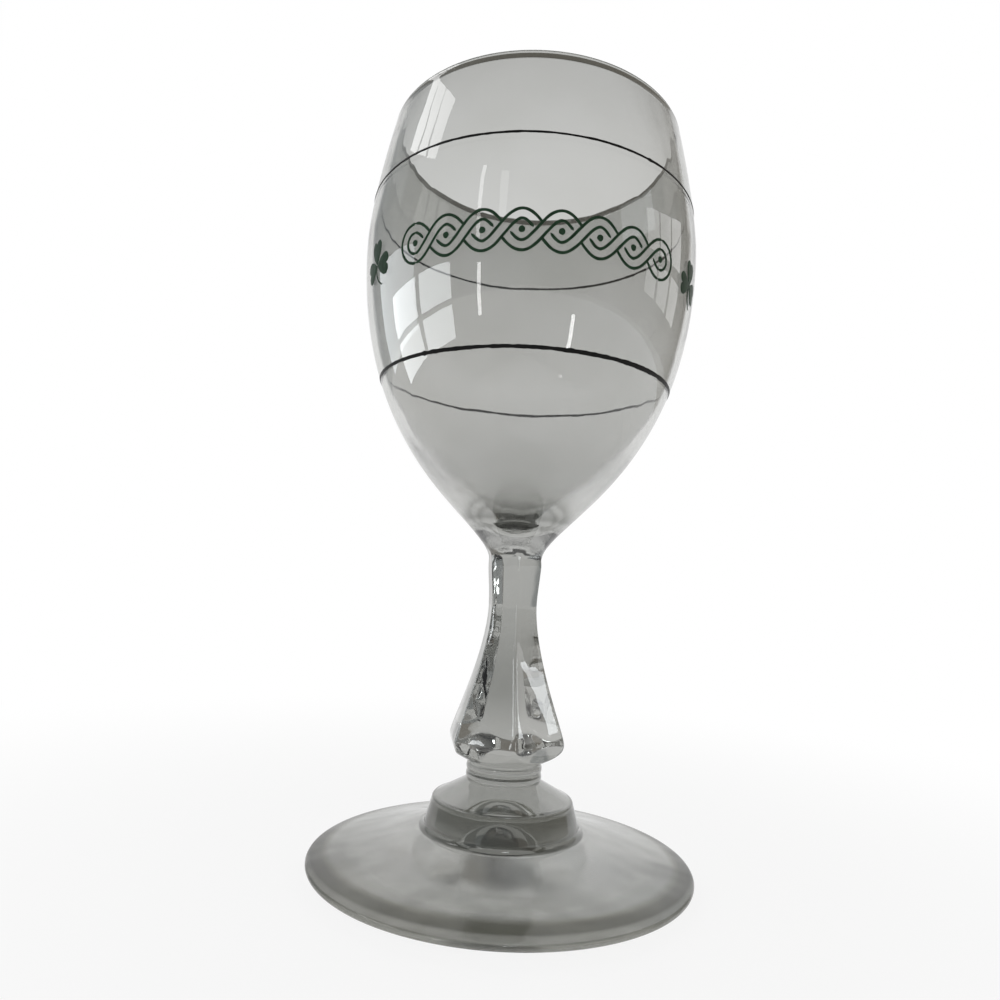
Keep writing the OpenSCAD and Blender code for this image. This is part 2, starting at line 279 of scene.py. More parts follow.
def bump(tree, height, strength, depth):
    """Uneven surface of a depth in millimetres."""
    inputs = {"Height": height, "Strength": strength, "Distance": depth * MM}
    return add(tree, "Bump", inputs).outputs["Normal"]


# Materials

GLASS_IOR, ENAMEL_IOR = 1.52, 1.5
TINT_REACH = 40
GRAIN_STRETCH = (1, 1, 0.35)


def grey(value):
    """Tint of soda-lime glass, a little greener the darker it is."""
    return (value ** 1.01, value, value ** 1.045)


def greys(*stops):
    return [(at, grey(value)) for at, value in stops]


def glass(name, tints, rough, shadow=0.8, heights=None, grain=(0.12, 0.4, 90, 2.0), drift=0.0,
          edge=(0.45, 0.2), waves=None, haze=None):
    """Soda-lime glass, with slow clouds in its tint.

    tints: tints of its body at radii, or between the two heights that heights gives; set zone by zone to how
    dark each part reads, partly the glass's own grey-green and partly painted shade
    rough: its least and most roughness
    shadow: the share of light that its shadow lets through
    grain: strength, depth, noise scale and noise detail of its uneven surface
    drift: how far the middle of the radii lies behind the axis; it widens the foot's dark edge band, painted
    shade, at the front
    edge: greys where it turns away from the eye and where it is nearly edge-on; painted shade for dark
    edges, only partly the longer path through the glass
    waves: strengths of the uneven surface at heights, in place of grain's one strength
    haze: roughness that is added at heights"""
    mat, tree, out = shader(name)
    place = add(tree, "TexCoord").outputs["Object"]
    if heights:
        low, high = heights
        measure = add(tree, "SeparateXYZ", {0: place}).outputs["Z"]
    else:
        low, high = 0, TINT_REACH
        flat = add(tree, "VectorMath", {0: place, 1: (1, 1, 0), 2: (0, -drift * MM, 0)},
                   operation="MULTIPLY_ADD")
        measure = add(tree, "VectorMath", {0: flat.outputs[0]}, operation="LENGTH").outputs["Value"]
    share = span(tree, measure, low * MM, high * MM)

    def along(stops):
        return ramp(tree, share, [((at - low) / (high - low), value) for at, value in stops])

    cloud = ramp(tree, noise(tree, 55, 2.0), [(0.3, (0.94, 0.94, 0.93)), (0.7, WHITE)])
    # Painted shade: the tint darkens where the glass turns away from the eye, for dark edges, only partly
    # from the longer path through the wall
    facing = add(tree, "LayerWeight", {"Blend": 0.5}).outputs["Facing"]
    aside = ramp(tree, facing, [(0.5, WHITE), (0.76, grey(edge[0])), (0.95, grey(edge[1]))])
    colour = blend(tree, "MULTIPLY", blend(tree, "MULTIPLY", along(tints), cloud), aside)
    dull = ramp(tree, noise(tree, 160, 3.0), [(0.35, rough[0]), (0.75, rough[1])])
    if haze:
        dull = blend(tree, "ADD", dull, along(haze))
    strength, depth, scale, detail = grain
    if waves:
        strength = along(waves)
    uneven = bump(tree, noise(tree, scale, detail, GRAIN_STRETCH), strength, depth)
    body = add(tree, "BsdfPrincipled", {
        "IOR": GLASS_IOR, "Transmission Weight": 1.0, "Base Color": colour, "Roughness": dull,
        "Normal": uneven})
    through = add(tree, "BsdfTransparent", {"Color": (shadow, shadow, shadow, 1)})
    rays = add(tree, "LightPath")
    surface = mix_shaders(tree, rays.outputs["Is Shadow Ray"], body, through)
    tree.links.new(surface, out.inputs["Surface"])
    return mat


def fused():
    """Inside face where two pieces of glass have melted into one another."""
    mat, tree, out = shader("fused_joint")
    clear = add(tree, "BsdfTransparent", {"Color": (*WHITE, 1)})
    tree.links.new(clear.outputs[0], out.inputs["Surface"])
    return mat


def enamel(name, deep, light, rough):
    """Fired enamel: thin, slightly mottled and a little duller than the glass."""
    mat, tree, out = shader(name)
    tint = ramp(tree, noise(tree, 900, 4.0), [(0.3, deep), (0.72, light)])
    dull = ramp(tree, noise(tree, 2200, 3.0), [(0.3, rough[0]), (0.7, rough[1])])
    body = add(tree, "BsdfPrincipled", {
        "IOR": ENAMEL_IOR, "Specular IOR Level": 0.12, "Base Color": tint, "Roughness": dull,
        "Normal": bump(tree, noise(tree, 3500, 4.0), 0.25, 0.04)})
    tree.links.new(body.outputs[0], out.inputs["Surface"])
    return mat


JOINT = fused()
# Painted shade: the dark stops at 62.6 and 64.2 mm draw two dark rings round the base of the bowl, where the
# joint bends the light
BOWL_GLASS = glass(
    "bowl_glass_clear",
    greys((61.9, 0.45), (62.6, 0.18), (63.4, 0.42), (64.2, 0.16), (65.6, 0.50), (69, 0.62),
          (84, 0.67), (96, 0.69), (112, 0.60), (142, 0.515)),
    rough=(0.0, 0.012), shadow=0.88, heights=(60, 142), grain=(0.12, 0.6, 110, 2.0), edge=(0.7, 0.12),
    waves=[(60, 0.5), (72, 0.35), (80, 0.1), (96, 0.1), (120, 0.1), (134, 0.3)],
    haze=[(66.5, 0.0), (69.5, 0.17), (75, 0.15), (81, 0.0)])
# Painted shade: near-black tint on the inner side of the rim bead, for the dark line the bead shows
RIM_TINT = (0.02, 0.018, 0.013)
RIM_GLASS = glass("rim_glass_painted_shade", [(0, RIM_TINT), (40, RIM_TINT)], rough=(0.0, 0.02), shadow=0.6)
# Painted shade in the stem's tints: darker at the foot of the knop and at the waist
STEM_GLASS = glass(
    "stem_glass_clear",
    greys((17, 0.28), (19, 0.36), (23, 0.42), (32, 0.26), (50, 0.36), (62, 0.38)),
    rough=(0.0, 0.012), heights=(17, 62), grain=(0.5, 1.6, 120, 0.0), edge=(0.7, 0.4))
# Tints of the foot's outer band: partly the green-grey of thick glass, partly painted shade for its dark
# edge; the drift below makes the band wider at the front
EDGE_TINT_AND_SHADE = [(31.2, (0.42, 0.425, 0.40)), (32.2, (0.18, 0.18, 0.145)), (33.0, (0.06, 0.06, 0.045)),
              (34.7, (0.04, 0.04, 0.028)), (35.4, (0.26, 0.26, 0.23)), (38, (0.36, 0.36, 0.33))]
FOOT_SHADE_DRIFT = 2.2
# Painted shade: the step's wall, 13.1 to 15 mm out, is near-black, for the dark band it shows
STEP_GLASS = glass("foot_step_clear", greys((8, 0.25), (12.4, 0.26), (13.1, 0.08), (15, 0.085), (17, 0.44)),
                   rough=(0.0, 0.03), grain=(0.4, 1.1, 120, 1.0))
PLATE_GLASS = glass("foot_plate_clear", greys((15, 0.50), (19, 0.56), (25, 0.45)) + EDGE_TINT_AND_SHADE,
                    rough=(0.09, 0.19), grain=(0.5, 1.2, 60, 2.0), drift=FOOT_SHADE_DRIFT)
UNDER_GLASS = glass("foot_glass_worn", greys((9, 0.30), (18, 0.44)) + EDGE_TINT_AND_SHADE,
                    rough=(0.16, 0.26), grain=(0.05, 0.3, 200, 2.0), drift=FOOT_SHADE_DRIFT)
DIMPLE_GLASS = glass("dimple_glass_rough", greys((0, 0.45), (8, 0.45)),
                     rough=(0.0, 0.06), grain=(0.7, 1.4, 160, 1.0))
# Painted shade: the floor of the cavity is near-black, for the dark oval seen through the base of the bowl
FLOOR_GLASS = glass("cavity_floor_painted_shade", greys((0, 0.03), (5, 0.05)),
                    rough=(0.0, 0.04), grain=(0.7, 1.0, 260, 1.0))
BLACK = enamel("black_enamel_fired", (0.003, 0.003, 0.003), (0.009, 0.009, 0.008), (0.28, 0.45))
GREEN = enamel("green_enamel_fired", (0.016, 0.042, 0.022), (0.034, 0.080, 0.044), (0.3, 0.5))


# Foot

HOLLOW_H, DIMPLE_R, DIMPLE_H = 7.6, 6.5, 1.6
STAND_IN_R, STAND_OUT_R = 25.9, 27.5
EDGE_ROUND, EDGE_Z, EDGE_SPAN = 0.55, 1.9, 78
EDGE_JOIN_R, EDGE_LOW_Z, EDGE_HIGH_Z = 34.56, 1.36, 2.44
PLATE_H, SHOULDER_H, STEP_TOP_R, STEP_BASE_R = 7.2, 12.9, 13.2, 14.3
STEP_FILLET, SHOULDER_ROUND = 1.4, 0.6
ZONE_SLACK = 0.1

foot_profile = np.vstack([
    curve([0, HOLLOW_H], [DIMPLE_R, DIMPLE_H], [[0.5, 0], [0.85, 0.55]], 24),
    line([DIMPLE_R, DIMPLE_H], [STAND_IN_R, 0], 20, 1),
    line([STAND_IN_R, 0], [STAND_OUT_R, 0], 2, 1),
    curve([STAND_OUT_R, 0], [EDGE_JOIN_R, EDGE_LOW_Z], [[0.3, 0.2], [0.7, 0.65]], 16, 1),
    arc([FOOT_R - EDGE_ROUND, EDGE_Z], EDGE_ROUND, -EDGE_SPAN, EDGE_SPAN, 14, 1),
    curve([EDGE_JOIN_R, EDGE_HIGH_Z], [STEP_BASE_R + STEP_FILLET, PLATE_H],
          [[0.35, 0.24], [0.75, 0.68]], 30, 1),
    curve([STEP_BASE_R + STEP_FILLET, PLATE_H], [STEP_BASE_R, PLATE_H + STEP_FILLET],
          ROUND_OUT_SHARES, 10, 1),
    line([STEP_BASE_R, PLATE_H + STEP_FILLET], [STEP_TOP_R, SHOULDER_H - SHOULDER_ROUND], 8, 1),
    curve([STEP_TOP_R, SHOULDER_H - SHOULDER_ROUND], [STEP_TOP_R - SHOULDER_ROUND, SHOULDER_H],
          ROUND_IN_SHARES, 8, 1),
    curve([STEP_TOP_R - SHOULDER_ROUND, SHOULDER_H], [SEAT_R, FOOT_TOP],
          [[0.3, 0.28], [0.75, 0.75]], 20, 1),
    [[SEAT_R / 2, FOOT_TOP], [0, FOOT_TOP]],
])


def foot_zone(r, z, down):
    """0 polished step, its wall painted near-black as shade, 2 worn underside, 3 dimple, 4 plate."""
    if down and r < DIMPLE_R + ZONE_SLACK:
        return 3
    if down and z < DIMPLE_H - ZONE_SLACK:
        return 2
    return 4 if z < PLATE_H + ZONE_SLACK else 0


def foot_uneven(row, r, z):
    """Waves that stay inside the foot; its standing ring, dimple and seat are true."""
    size = FOOT_WAVE * min(1, max(0, (r - SEAT_R) / FADE_FOOT)) * (0 if z < TINY else 1)
    return wobble(TURNS, np.full(SEGMENTS, z * FOOT_STRETCH), size, FOOT_SEED) - size


foot = lathe("foot_glass", foot_profile, 0,
             [STEP_GLASS, JOINT, UNDER_GLASS, DIMPLE_GLASS, PLATE_GLASS],
             (FOOT_TOP,), foot_uneven, foot_zone)
piece(foot, "foot")


# Collar

COLLAR_RINGS, COLLAR_BULGE, COLLAR_STEPS = 2, 0.3, 14

ring_h = (STEM_Z - FOOT_TOP) / COLLAR_RINGS
collar_top = ring_h * COLLAR_RINGS
collar_profile = [[0, 0], [SEAT_R / 2, 0]]
for n in range(COLLAR_RINGS):
    for t in np.linspace(0, np.pi, COLLAR_STEPS + 1)[(1 if n else 0):]:
        collar_profile.append([SEAT_R + COLLAR_BULGE * math.sin(t), ring_h * (n + (1 - math.cos(t)) / 2)])
collar_profile += [[SEAT_R / 2, collar_top], [0, collar_top]]
collar = lathe("collar_glass", collar_profile, FOOT_TOP, [STEM_GLASS, JOINT], (0, collar_top))
piece(collar, "collar")


# Stem: six flats cut into a round form, each given by radius and height

FLAT_BASE, FLAT_KNOP, FLAT_WAIST, FLAT_NECK = [8.06, 0], [10.15, 4.3], [4.35, 29], [4.85, 37.8]
FLAT_TOP = [JOINT_R * 1.2, STEM_H]
ROUND_KNOP, ROUND_NECK = [11.6, 4.43], [5.35, 37.93]
KNOP_STEPS = 44
FLARE_Z, NECK_Z = 9, 36.5
FLATS = 6
FLAT_TURN = 360 / FLATS
FLAT_SHARPNESS, CUT_SHARPNESS = 80, 150

flat_half = np.vstack([
    curve(FLAT_BASE, FLAT_KNOP, [[0.54, 0.28], [1, 0.65]], 40),
    curve(FLAT_KNOP, FLAT_WAIST, [[0, 0.07], [1, 0.62]], 90, 1),
    curve(FLAT_WAIST, FLAT_NECK, [[0, 0.35], [1, 0.7]], 30, 1),
    curve(FLAT_NECK, FLAT_TOP, [[0, 0.45], [0.35, 0.8]], 20, 1),
])
round_half = np.vstack([
    curve([SEAT_R, 0], ROUND_KNOP, [[0.14, 0.23], [1, 0.42]], KNOP_STEPS),
    line(ROUND_KNOP, ROUND_NECK, 40, 1),
    curve(ROUND_NECK, [JOINT_R, STEM_H], [[0, 0.45], [0.34, 0.68]], 22, 1),
])


def stem_rings():
    """Rings of the stem from its seat on the collar to the bowl."""
    heights = np.unique(np.round(np.concatenate([
        round_half[:KNOP_STEPS + 1, 1], np.linspace(ROUND_KNOP[1], FLARE_Z, 40),
        np.linspace(FLARE_Z, NECK_Z, 100), np.linspace(NECK_Z, STEM_H, 30),
    ]), 4))
    heights[-1] = STEM_H
    flats = np.zeros(SEGMENTS)
    for i in range(FLATS):
        middle = np.radians(RIDGE_TURN - FLAT_TURN / 2 + FLAT_TURN * i)
        flats += np.maximum(0, np.cos(TURNS - middle)) ** FLAT_SHARPNESS
    flats = flats ** (-1 / FLAT_SHARPNESS)
    rings = []
    for z in heights:
        flat_r = np.interp(z, flat_half[:, 1], flat_half[:, 0])
        round_r = np.interp(z, round_half[:, 1], round_half[:, 0])
        cut = (flat_r * flats / round_r) ** -CUT_SHARPNESS
        radius = (cut + 1) ** (-1 / CUT_SHARPNESS) * round_r
        wave = STEM_WAVE * min(1, z / FADE_STEM, (STEM_H - z) / FADE_STEM)
        radius = radius - wave + wobble(TURNS, np.full(SEGMENTS, z * STEM_STRETCH), wave, STEM_SEED)
        rings.append(ring_at(radius, z + STEM_Z))
    half = [0.5, 0.5, 1]
    return [[(0, 0, STEM_Z)], rings[0] * half] + rings + [rings[-1] * half, [(0, 0, BOWL_Z)]]


verts, faces = skin(stem_rings())
heights = np.array([v[2] for v in verts])


def lies_at(face, height):
    return all(abs(heights[v] - height) < TINY for v in face)


slots = [1 if lies_at(face, STEM_Z) or lies_at(face, BOWL_Z) else 0 for face in faces]
stem = make_object("stem_glass", verts, faces, [STEM_GLASS, JOINT], slots)
piece(stem, "stem")


# Bowl

BEAD_STEPS = 18
BEAD_DEPTH_SHARE = 1.6
# Heights under the top between which the inner side of the rim is painted near-black as shade
DARK_RIM_LOW, DARK_RIM_HIGH = 1.5, 0.45
OVER_JOINT = 1
bead_r = RIM_T / 2
bead_z = BOWL_H - bead_r
inner_top = BOWL_H - RIM_T * BEAD_DEPTH_SHARE
rim_in = [np.interp(inner_top, bowl_outside[:, 1], bowl_outside[:, 0]) - WALL_T, inner_top]
belly_in = [BELLY_R - WALL_T, BELLY_H]
bowl_profile = np.vstack([
    [[0, 0], [JOINT_R / 2, 0]],
    bowl_outside,
    arc([RIM_R - bead_r, bead_z], bead_r, 0, 180, BEAD_STEPS, 1),
    curve([RIM_R - RIM_T, bead_z], rim_in, [[0, 0.4], [0.8, 0.7]], 5, 1),
    curve(belly_in, rim_in, BOWL_UP_SHARES, 24)[::-1][1:],
    curve(CAVITY_MID, belly_in, [[0.6, 0.225], [1, 0.53]], 50)[::-1][1:],
    curve(CAVITY_EDGE, CAVITY_MID, [[0.4, 0.32], [0.69, 0.57]], 26)[::-1][1:],
    curve([0, FLOOR_T], CAVITY_EDGE, [[0.5, 0], [0.85, 0.5]], 10)[::-1][1:],
])
OUTSIDE_ROWS = range(3, 2 + len(bowl_outside))


def bowl_uneven(row, r, z):
    """Waves of the bowl's outside and of its cavity; the bead between them is true."""
    height = np.full(SEGMENTS, z)
    if row in OUTSIDE_ROWS:
        return bowl_radius(height, TURNS) - r
    if row <= OUTSIDE_ROWS[-1] + BEAD_STEPS + 2:
        return 0
    fade = min(1, max(0, r - CAVITY_TRUE_R) / FADE_CAVITY) * min(1, max(0, (BOWL_H - z) / FADE_TOP))
    return wobble(TURNS, height, INNER_WAVE * fade, INNER_SEED)


def bowl_zone(r, z, down):
    """0 clear, 2 inner side of the rim, painted near-black as shade, 3 floor of the cavity, painted
    near-black as shade.
    """
    if BOWL_H - DARK_RIM_LOW < z < BOWL_H - DARK_RIM_HIGH and r < RIM_R - bead_r:
        return 2
    return 3 if OVER_JOINT < z < CAVITY_EDGE[1] and r < CAVITY_EDGE[0] else 0


bowl = lathe("bowl_glass", bowl_profile, BOWL_Z, [BOWL_GLASS, JOINT, RIM_GLASS, FLOOR_GLASS],
             (0,), bowl_uneven, bowl_zone)
piece(bowl, "bowl")


# Fired enamel: lines and patches that lie on the bowl

PRINT_TURN = math.radians(2.7)
ENAMEL_TOP, ENAMEL_SUNK = 0.07, -0.03
LINE_TOP = [(-1, 0.25), (-0.82, 0.85), (-0.4, 1), (0, 1), (0.4, 1), (0.82, 0.85), (1, 0.25)]
LINE_SECTION = [(across, ENAMEL_TOP * share) for across, share in LINE_TOP]
LINE_SECTION += [(across, ENAMEL_SUNK) for across, share in LINE_TOP[::-1]]
PATCH_TOP = [(0.3, 1), (0.6, 1), (0.85, 1), (0.95, 0.85), (1.0, 0.3)]
PATCH_SECTION = [(out, ENAMEL_TOP * share) for out, share in PATCH_TOP]
PATCH_SECTION += [(out, ENAMEL_SUNK) for out in (1.0, 0.85, 0.6, 0.3)]
EDGE_WAVES, EDGE_WAVE_SHARE, LINE_END_SHARE = 10, 0.02, 0.05


def on_bowl(points, lift):
    """Places on the bowl: along the girth from the middle of the print, up, and off it."""
    points = np.asarray(points, float)
    turn = PRINT_TURN + points[..., 0] / BELLY_R
    r = bowl_radius(points[..., 1], turn - np.pi / 2) + lift
    return np.stack([r * np.sin(turn), -r * np.cos(turn), points[..., 1] + BOWL_Z], -1)


def direction(path, closed):
    """Direction of a path at each point; a closed one goes once round the bowl."""
    if not closed:
        return np.gradient(path, axis=0)
    way = np.roll(path, -1, 0) - np.roll(path, 1, 0)
    way[:, 0] = np.where(np.abs(way[:, 0]) > BELLY_R, BELLY_R * 4 * np.pi / len(path), way[:, 0])
    return way


def rounded_ends(path, half):
    """Share of its half width that a line has at each point, with round ends."""
    length = np.concatenate([[0], np.cumsum(np.linalg.norm(np.diff(path, axis=0), axis=1))])
    end = np.minimum(length, length[-1] - length) / half
    return np.sqrt(np.clip(1 - (1 - np.clip(end, 0, 1)) ** 2, LINE_END_SHARE, 1))


def ribbon(path, half_width, closed=False, seed=1):
    """A line of enamel along a path, with the slight unevenness of a print."""
    path = np.asarray(path, float)
    n = len(path)
    way = direction(path, closed)
    side = np.stack([-way[:, 1], way[:, 0]], 1) / np.linalg.norm(way, axis=1)[:, None]
    draw = np.random.default_rng(seed)
    run = np.arange(n) / n * 2 * np.pi
    rough = np.zeros((2, n))
    for waves in draw.integers(3, max(6, n // 5), EDGE_WAVES):
        rough += np.sin(waves * run + draw.uniform(0, PHASES, (2, 1))) * EDGE_WAVE_SHARE
    half = half_width * np.ones(n)
    left, right = half * (1 + rough[0]), half * (1 + rough[1])
    if not closed:
        shape = rounded_ends(path, half)
        left, right = left * shape, right * shape
    rows = []
    for across, lift in LINE_SECTION:
        off = (across * right if across < 0 else across * left)[:, None] * side
        rows.append(on_bowl(path + off, lift))
    m = len(rows)
    verts = np.array(rows).transpose(1, 0, 2).reshape(-1, 3)
    faces = []
    for i in range(n if closed else n - 1):
        after = (i + 1) % n
        for j in range(m):
            beside = (j + 1) % m
            faces.append((i * m + j, i * m + beside, after * m + beside, after * m + j))
    if not closed:
        faces.append(tuple(range(m))[::-1])
        faces.append(tuple((n - 1) * m + j for j in range(m)))
    return verts, faces


def patch(outline, middle):
    """Enamel inside an outline, raised a little and rounded at its edge."""
    outline, middle = np.asarray(outline, float), np.asarray(middle, float)
    rings = [on_bowl(middle + (outline - middle) * out, lift) for out, lift in PATCH_SECTION]
    verts, faces = skin([[on_bowl(middle, ENAMEL_TOP)], *rings, [on_bowl(middle, ENAMEL_SUNK)]])
    return np.array([tuple(v) for v in verts]), [face[::-1] for face in faces]


def oriented(parts):
    """Turns the faces of parts whose volume came out negative."""
    turned = []
    for v, faces in parts:
        centre = v.mean(0)
        volume = sum(np.dot(v[f[0]] - centre, np.cross(v[f[i]] - centre, v[f[i + 1]] - centre))
                     for f in faces for i in range(1, len(f) - 1))
        turned.append((v, faces if volume > 0 else [f[::-1] for f in faces]))
    return turned


def print_piece(node, parts, material):
    """Joins parts into the piece that stands for a printed node."""
    verts, faces, start = [], [], 0
    for part_verts, part_faces in parts:
        verts.append(part_verts)
        faces += [tuple(i + start for i in face) for face in part_faces]
        start += len(part_verts)
    obj = make_object(f"{node}_enamel", np.vstack(verts), faces, [material], sharp=70)
    return piece(obj, node)


# The two lines round the bowl

LINE_POINTS = 720
LINE_WAVES = (1, 2, 3, 5, 9, 16, 31, 47, 83)
LINE_WANDER, LINE_SWELL_SHARE, BLOB_SHARE, BLOB_SPAN = 0.035, 0.05, 0.5, 0.012


def line_round(height, width, seed):
    """A printed line that wanders and swells a little, with one blob on its front half."""
    run = np.arange(LINE_POINTS) / LINE_POINTS * 2 * np.pi
    girth = (np.arange(LINE_POINTS) / LINE_POINTS - 0.5) * 2 * np.pi * BELLY_R
    draw = np.random.default_rng(seed)
    up, thick = np.zeros(LINE_POINTS), np.ones(LINE_POINTS)
    for waves in LINE_WAVES:
        a, b = draw.uniform(0, PHASES, 2)
        up += np.sin(waves * run + a) * LINE_WANDER / waves ** 0.5
        thick += np.sin(waves * run + b) * LINE_SWELL_SHARE
    blob = np.exp(-((run - draw.uniform(2.0, 4.5)) / BLOB_SPAN) ** 2)
    return ribbon(np.stack([girth, height + up], 1), width / 2 * (thick + BLOB_SHARE * blob), True, seed)


for node, height, width, seed in (("upper_line", 65.0, 0.48, 3), ("lower_line", 30.1, 0.62, 4)):
    print_piece(node, [line_round(height, width, seed)], BLACK)


# The twist of two strands, which cross over and under, and its dots

TWIST_H, TWIST_L, TWIST_W, CROSSINGS = 48.1, 53.0, 7.2, 7
STRAND_W, OUTLINE_W, DOT_R = 2.1, 0.5, 0.55
REACH = (TWIST_W - STRAND_W) / 2
STEP = (TWIST_L - TWIST_W) / CROSSINGS
START = -STEP * CROSSINGS / 2
SLOPE = math.atan(REACH * math.pi / STEP)
OFFSET = (STRAND_W - OUTLINE_W) / 2
POINTS_PER_STEP = 26


def strand_point(strand, steps, offset):
    """Places on the outline of strand 1 or -1, some steps from the start."""
    swing = strand * REACH * np.cos(np.pi * steps)
    rise = -strand * REACH * np.pi / STEP * np.sin(np.pi * steps)
    side = np.stack([-rise, np.ones_like(rise)], 1) / np.sqrt(1 + rise ** 2)[:, None]
    return np.stack([START + steps * STEP, TWIST_H + swing], 1) + side * offset


def hidden(strand, crossing, offset, way):
    """Steps from a crossing to where an outline comes out from under the other strand."""
    lean = -strand * math.sin(math.pi * crossing) * offset * math.cos(2 * SLOPE)
    return (lean + way * STRAND_W / 2) / math.sin(2 * SLOPE) * math.cos(SLOPE) / STEP


def strand_parts(strand, seed):
    """The two outlines of a strand, broken where it runs under, and its end loops."""
    parts = []
    for n, offset in enumerate((-OFFSET, OFFSET)):
        under = [i + 0.5 for i in range(CROSSINGS) if (i if strand > 0 else i + 1) % 2 == 0]
        starts = [0.0] + [s + hidden(strand, s, offset, 1) for s in under]
        stops = [s + hidden(strand, s, offset, -1) for s in under] + [float(CROSSINGS)]
        for i, (a, b) in enumerate(zip(starts, stops)):
            count = max(6, int((b - a) * POINTS_PER_STEP)) + 1
            path = strand_point(strand, np.linspace(a, b, count), offset)
            parts.append(ribbon(path, OUTLINE_W / 2, False, seed + 10 * i + n))
        way, r = -strand, REACH + offset
        t = np.radians(np.linspace(-90, 90, 41))
        loop = np.stack([way * (TWIST_L - TWIST_W) / 2 + way * r * np.cos(t), TWIST_H + r * np.sin(t)], 1)
        parts.append(ribbon(loop, OUTLINE_W / 2, False, seed + 90 + n))
    return parts


for node, strand, seed in (("twist_strand_a", 1, 100), ("twist_strand_b", -1, 300)):
    print_piece(node, oriented(strand_parts(strand, seed)), GREEN)

dots = []
round_dot = np.linspace(0, 2 * np.pi, 33)[:-1]
for i in range(CROSSINGS + 1):
    centre = np.array([START + i * STEP, TWIST_H])
    radius = DOT_R * (1 + 0.03 * np.sin(3 * round_dot + i) + 0.02 * np.sin(5 * round_dot + 2 * i))
    outline = centre + radius[:, None] * np.stack([np.cos(round_dot), np.sin(round_dot)], 1)
    dots.append(patch(outline, centre))
print_piece("twist_dots", oriented(dots), GREEN)


# The shamrocks

SHAMROCK_TURN, SHAMROCK_H = 61.5, 47.8
LEAF_L, LEAF_W, LEAF_TURN = 4.2, 4.2, math.radians(98)
LOBE_TIP, LOBE_NOTCH = [0.72, 1], [0, 0.84]
LEAF_GAP_SHARE, LEAF_MIDDLE_SHARE = 0.03, 0.6
STALK_L, STALK_BEND_SHARE, STALK_HALF_W = 3.8, 0.45, 0.17


def shamrock(turn):
    """Three heart-shaped leaves and a bent stalk, at a turn from the middle of the print."""
    middle = np.array([math.radians(turn) * BELLY_R, SHAMROCK_H])
    t = np.linspace(0, 1, 25)[:-1]
    right = np.vstack([
        bezier([[0, 0], [0.55, 0.2], [1.35, 0.78], LOBE_TIP], t),
        bezier([LOBE_TIP, [0.42, 1.12], [0.06, 1.02], LOBE_NOTCH], t),
    ]) * [LEAF_W / 2, LEAF_L]
    left = (right[1:] * [-1, 1])[::-1]
    leaf = np.vstack([right, [[0, LOBE_NOTCH[1] * LEAF_L]], left]) + [0, LEAF_L * LEAF_GAP_SHARE]
    parts = []
    for i in (-1, 0, 1):
        c, s = math.cos(i * LEAF_TURN), math.sin(i * LEAF_TURN)
        spin = np.array([[c, s], [-s, c]])
        parts.append(patch(middle + leaf @ spin, middle + np.array([0, LEAF_L * LEAF_MIDDLE_SHARE]) @ spin))
    stalk = middle + curve([0, 0], [STALK_L * STALK_BEND_SHARE, -STALK_L], [[-0.55, 0.35], [0.1, 0.85]], 24)
    parts.append(ribbon(stalk, STALK_HALF_W, False, 7))
    return oriented(parts)


print_piece("shamrock_left", shamrock(-SHAMROCK_TURN), GREEN)
print_piece("shamrock_right", shamrock(SHAMROCK_TURN), GREEN)


# Floor

FLOOR_R, FLOOR_DROP, FLOOR_SIDES = 3000, 0.05, 96
SHADE_FROM, SHADE_TO, NEAR_WHITE_SHARE = 20, 220, 0.87


def floor_material():
    """Matt and pale; the eye and the glass see it turn to plain white away from the foot."""
    mat, tree, out = shader("pale_floor")
    tint = ramp(tree, noise(tree, 6, 3.0), [(0.3, 0.93), (0.7, 0.95)])
    body = add(tree, "BsdfPrincipled", {
        "IOR": 1.45, "Roughness": 0.9, "Specular IOR Level": 0.0, "Base Color": tint})
    white = add(tree, "Emission", {"Color": (*WHITE, 1), "Strength": 1.0})
    place = add(tree, "TexCoord").outputs["Object"]
    away = add(tree, "VectorMath", {0: place}, operation="LENGTH").outputs["Value"]
    fade = span(tree, away, SHADE_FROM * MM, SHADE_TO * MM, NEAR_WHITE_SHARE,
                interpolation_type="SMOOTHSTEP")
    rays = add(tree, "LightPath").outputs
    seen = add(tree, "Math", {0: rays["Is Camera Ray"], 1: rays["Is Glossy Ray"]}, operation="ADD")
    seen_all = add(tree, "Math", {0: seen.outputs[0], 1: rays["Is Transmission Ray"]},
                   operation="ADD", use_clamp=True)
    share = add(tree, "Math", {0: fade, 1: seen_all.outputs[0]}, operation="MULTIPLY")
    surface = mix_shaders(tree, share.outputs[0], body, white)
    tree.links.new(surface, out.inputs["Surface"])
    return mat


scene = bpy.context.scene
scene.view_settings.view_transform = "Standard"

t = np.linspace(0, 2 * np.pi, FLOOR_SIDES + 1)[:-1]
rim = np.stack([FLOOR_R * np.cos(t), FLOOR_R * np.sin(t), np.full(FLOOR_SIDES, -FLOOR_DROP)], 1)
floor = make_object("floor", rim, [tuple(range(FLOOR_SIDES))], [floor_material()])


# World: a white backdrop behind, grey sides and a dark ceiling

BACKDROP_HALF, SIDES_FROM = math.radians(39), math.radians(46)
LEFT_GREY, RIGHT_GREY = (0.50, 0.52, 0.53, 1), (0.40, 0.37, 0.33, 1)
CEILING = [(0.0, WHITE), (0.66, WHITE), (0.86, (0.16, 0.16, 0.165)), (1.0, (0.12, 0.12, 0.125))]


